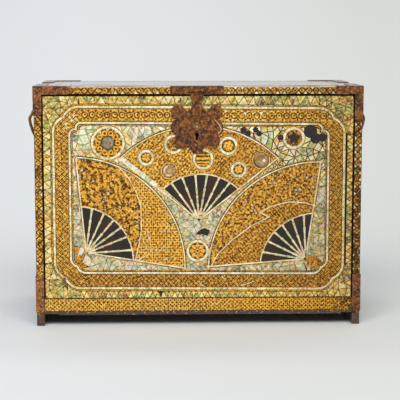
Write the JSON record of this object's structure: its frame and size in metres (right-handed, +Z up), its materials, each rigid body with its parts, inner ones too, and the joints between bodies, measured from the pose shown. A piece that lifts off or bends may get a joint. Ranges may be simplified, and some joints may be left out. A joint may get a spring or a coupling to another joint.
{
  "type": "lacquered fall-front chest with shell inlay",
  "caption": "Low lacquered wooden chest with a lift-out front panel, shell and gold inlay, iron corner mounts, a hinged hasp over a keyhole plate, and bail handles on its sides.",
  "frame": {"origin": "middle of the whole object's box in plan, on the surface that the side boards' lower edges stand on", "axes": "+X to the right as one faces the front panel, +Y from the front to the back, +Z up; the front faces -Y"},
  "size_m": [0.5938, 0.2882, 0.4134],
  "materials": {
    "black_lacquer": "aged black lacquer on wood, glossy on the top",
    "gold_lacquer": "gold-sprinkled lacquer drawing on dark brown lacquer, worn",
    "shell_inlay": "thin mother-of-pearl shards, satin, cream to green and pink",
    "brown_iron": "hand-cut iron sheet and rod with a brown rust patina"
  },
  "bodies": {
    "case": {"top_board": "black_lacquer", "left_side_board": "black_lacquer", "right_side_board": "black_lacquer", "back_board": "black_lacquer", "bottom_board": "gold_lacquer", "front_panel": "gold_lacquer", "lock_plate": "brown_iron", "hasp_plate": "brown_iron", "hasp_pin": "brown_iron", "top_left_front_mount": "brown_iron", "top_right_front_mount": "brown_iron", "top_left_back_mount": "brown_iron", "top_right_back_mount": "brown_iron", "left_foot_strap": "brown_iron", "right_foot_strap": "brown_iron", "left_bail_post_front": "brown_iron", "left_bail_post_back": "brown_iron", "right_bail_post_front": "brown_iron", "right_bail_post_back": "brown_iron"},
    "hasp": {"hasp": "brown_iron"},
    "left_bail": {"left_bail": "brown_iron"},
    "right_bail": {"right_bail": "brown_iron"}
  },
  "joints": [
    {"name": "hasp_hinge", "type": "hinge", "parent": "case", "child": "hasp", "pos_m": [-0.003, -0.1415, 0.4057], "axis": [-1, 0, 0], "range_deg": [0, 190]},
    {"name": "left_bail_hinge", "type": "hinge", "parent": "case", "child": "left_bail", "pos_m": [-0.2875, 0.0029, 0.363], "axis": [0, 1, 0], "range_deg": [0, 150]},
    {"name": "right_bail_hinge", "type": "hinge", "parent": "case", "child": "right_bail", "pos_m": [0.2875, 0.0029, 0.363], "axis": [0, -1, 0], "range_deg": [0, 150]}
  ]
}
